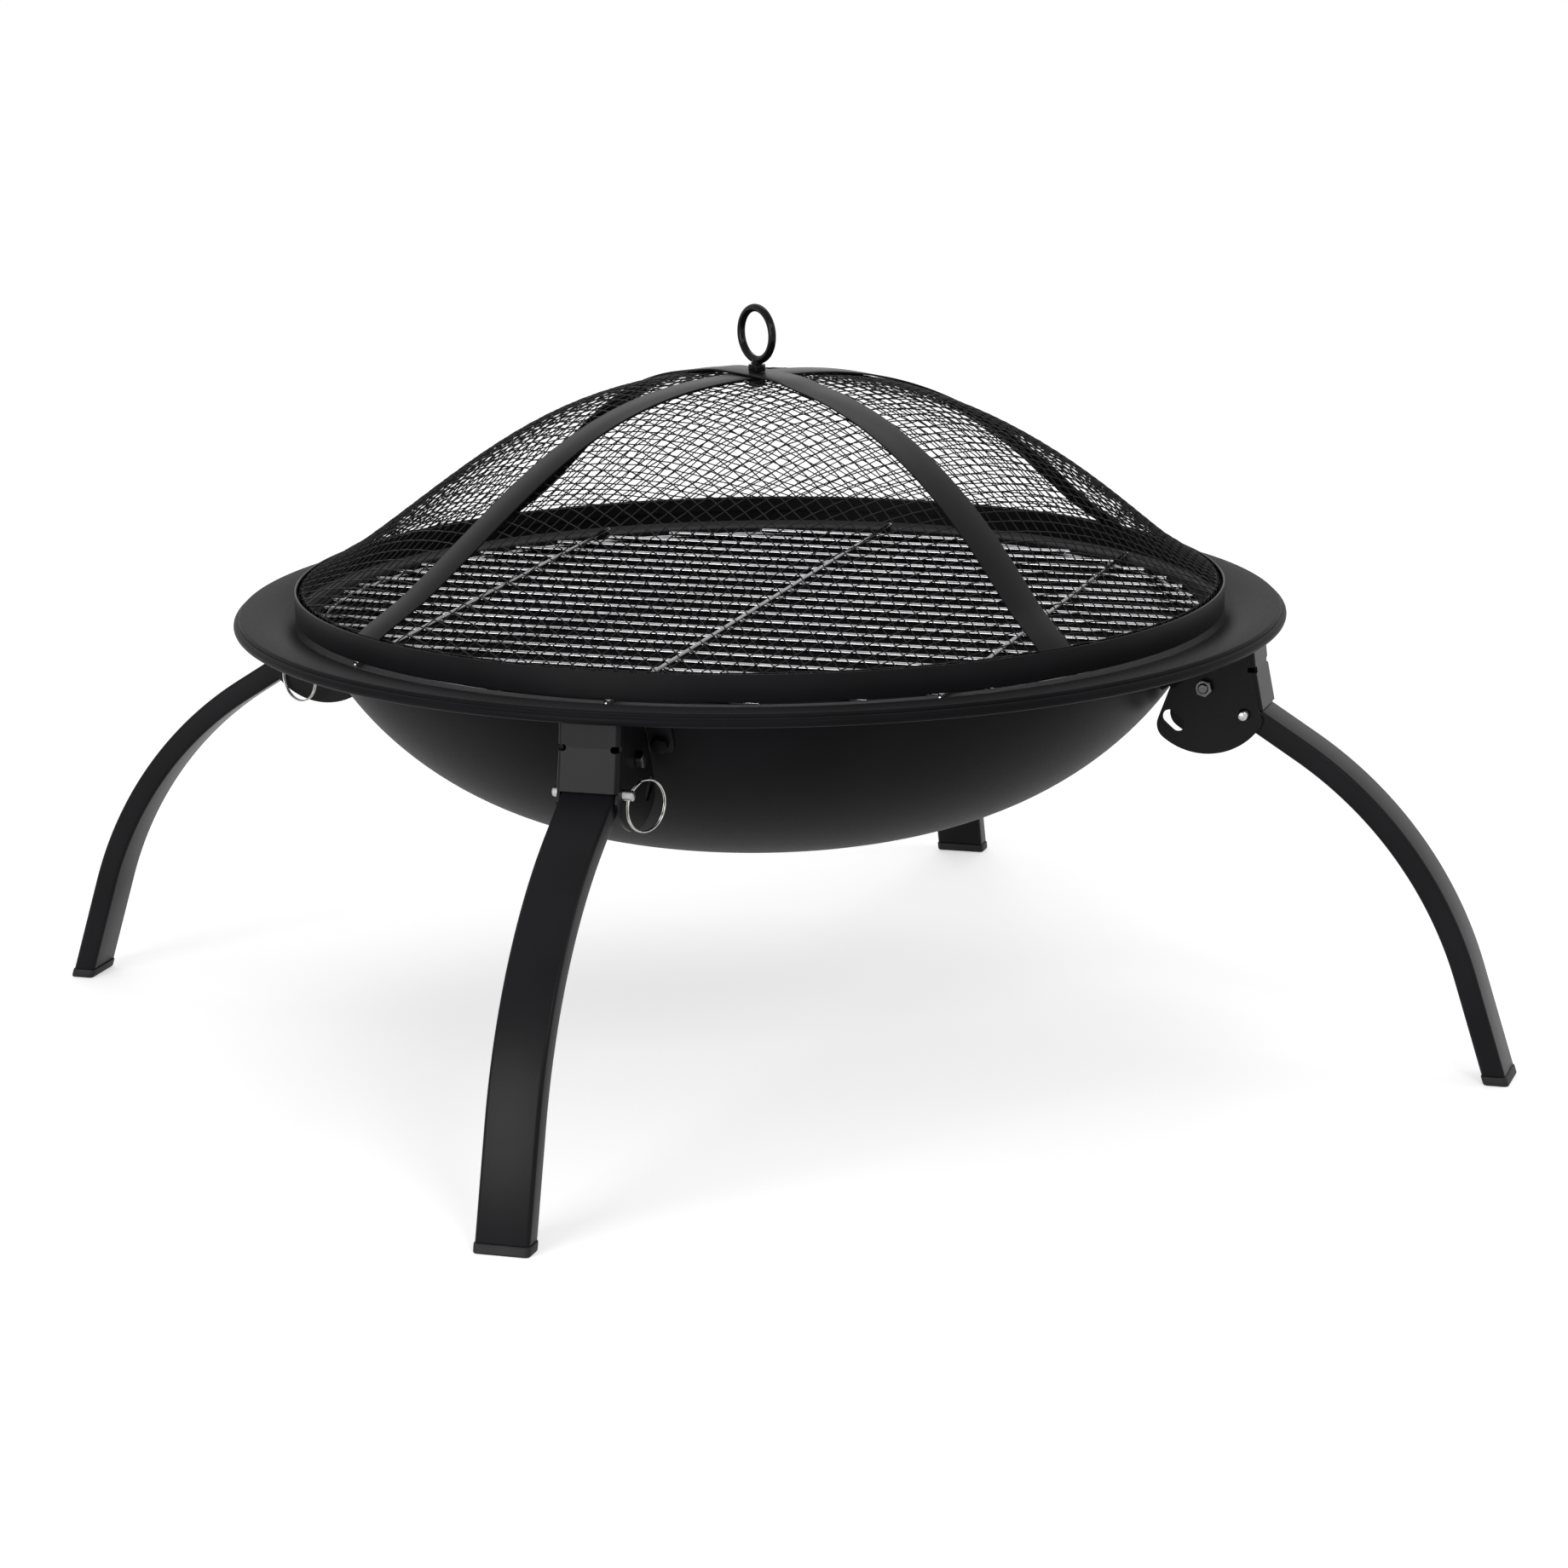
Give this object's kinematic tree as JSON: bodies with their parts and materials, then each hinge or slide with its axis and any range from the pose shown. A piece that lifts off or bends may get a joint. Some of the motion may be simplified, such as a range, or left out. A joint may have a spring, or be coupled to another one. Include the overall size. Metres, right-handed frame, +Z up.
{
  "type": "fire bowl",
  "caption": "Shallow round fire bowl on folding bent legs, with a wire cooking grate and a domed mesh spark screen that lifts off by a top ring.",
  "frame": {"origin": "on the ground under the middle of the bowl", "axes": "+Z up along the bowl's axis, -Y through the front leg, +X through the right leg and along the grate's parallel rods"},
  "size_m": [0.823, 0.823, 0.3964],
  "materials": {
    "bowl_black": "matte black heat-proof paint on pressed steel",
    "satin_black": "satin black powder coat on sheet and tube",
    "mesh_black": "black coated steel wire",
    "gloss_black": "glossy black paint",
    "chrome": "bright chromed wire",
    "zinc": "zinc plated",
    "nickel": "bright nickel plated wire",
    "black_plastic": "matte moulded plastic"
  },
  "bodies": {
    "root": {"fire_bowl": "bowl_black", "leg_bracket_right": "satin_black", "leg_bracket_rear": "satin_black", "leg_bracket_left": "satin_black", "leg_bracket_front": "satin_black", "bracket_bolt_a_right": "bowl_black", "bracket_bolt_a_rear": "bowl_black", "bracket_bolt_a_left": "bowl_black", "bracket_bolt_a_front": "bowl_black", "bracket_bolt_b_right": "bowl_black", "bracket_bolt_b_rear": "bowl_black", "bracket_bolt_b_left": "bowl_black", "bracket_bolt_b_front": "bowl_black", "bracket_nut_a_right": "zinc", "bracket_nut_a_rear": "zinc", "bracket_nut_a_left": "zinc", "bracket_nut_a_front": "zinc", "bracket_nut_b_right": "zinc", "bracket_nut_b_rear": "zinc", "bracket_nut_b_left": "zinc", "bracket_nut_b_front": "zinc", "pivot_bolt_right": "zinc", "pivot_bolt_rear": "zinc", "pivot_bolt_left": "zinc", "pivot_bolt_front": "zinc", "pivot_nut_right": "zinc", "pivot_nut_rear": "zinc", "pivot_nut_left": "zinc", "pivot_nut_front": "zinc"},
    "leg_right": {"leg_tube_right": "satin_black", "foot_cap_right": "black_plastic"},
    "leg_rear": {"leg_tube_rear": "satin_black", "foot_cap_rear": "black_plastic"},
    "leg_left": {"leg_tube_left": "satin_black", "foot_cap_left": "black_plastic"},
    "leg_front": {"leg_tube_front": "satin_black", "foot_cap_front": "black_plastic"},
    "pin_right": {"lock_pin_right": "zinc"},
    "pin_rear": {"lock_pin_rear": "zinc"},
    "pin_left": {"lock_pin_left": "zinc"},
    "pin_front": {"lock_pin_front": "zinc"},
    "ring_right": {"pull_ring_right": "nickel"},
    "ring_rear": {"pull_ring_rear": "nickel"},
    "ring_left": {"pull_ring_left": "nickel"},
    "ring_front": {"pull_ring_front": "nickel"},
    "grate": {"cooking_grate": "chrome"},
    "screen": {"screen_band_outer": "satin_black", "screen_band_inner": "satin_black", "screen_mesh": "mesh_black", "screen_strap_lower": "satin_black", "screen_strap_upper": "satin_black", "lifting_eye": "gloss_black", "eye_collar": "gloss_black", "eye_nut": "gloss_black"}
  },
  "joints": [
    {"name": "fold_leg_right", "type": "hinge", "parent": "root", "child": "leg_right", "pos_m": [0.2482, 0, 0.20531], "axis": [0, 1, 0], "range_deg": [0, 99]},
    {"name": "fold_leg_rear", "type": "hinge", "parent": "root", "child": "leg_rear", "pos_m": [0, 0.2482, 0.20531], "axis": [-1, 0, 0], "range_deg": [0, 99]},
    {"name": "fold_leg_left", "type": "hinge", "parent": "root", "child": "leg_left", "pos_m": [-0.2482, 0, 0.20531], "axis": [0, -1, 0], "range_deg": [0, 99]},
    {"name": "fold_leg_front", "type": "hinge", "parent": "root", "child": "leg_front", "pos_m": [0, -0.2482, 0.20531], "axis": [1, 0, 0], "range_deg": [0, 99]},
    {"name": "pull_pin_right", "type": "slide", "parent": "root", "child": "pin_right", "axis": [0, 1, 0], "range_m": [0, 0.045]},
    {"name": "pull_pin_rear", "type": "slide", "parent": "root", "child": "pin_rear", "axis": [-1, 0, 0], "range_m": [0, 0.045]},
    {"name": "pull_pin_left", "type": "slide", "parent": "root", "child": "pin_left", "axis": [0, -1, 0], "range_m": [0, 0.045]},
    {"name": "pull_pin_front", "type": "slide", "parent": "root", "child": "pin_front", "axis": [1, 0, 0], "range_m": [0, 0.045]},
    {"name": "swing_ring_right", "type": "hinge", "parent": "pin_right", "child": "ring_right", "pos_m": [0.26928, 0.0191, 0.19188], "axis": [0.4876, -0.2326, -0.8415], "range_deg": [0, 150]},
    {"name": "swing_ring_rear", "type": "hinge", "parent": "pin_rear", "child": "ring_rear", "pos_m": [-0.0191, 0.26928, 0.19188], "axis": [0.2326, 0.4876, -0.8415], "range_deg": [0, 150]},
    {"name": "swing_ring_left", "type": "hinge", "parent": "pin_left", "child": "ring_left", "pos_m": [-0.26928, -0.0191, 0.19188], "axis": [-0.4876, 0.2326, -0.8415], "range_deg": [0, 150]},
    {"name": "swing_ring_front", "type": "hinge", "parent": "pin_front", "child": "ring_front", "pos_m": [0.0191, -0.26928, 0.19188], "axis": [-0.2326, -0.4876, -0.8415], "range_deg": [0, 150]},
    {"name": "lift_grate", "type": "slide", "parent": "root", "child": "grate", "axis": [0, 0, 1], "range_m": [0, 0.12]},
    {"name": "lift_screen", "type": "slide", "parent": "grate", "child": "screen", "axis": [0, 0, 1], "range_m": [0, 0.2]}
  ]
}
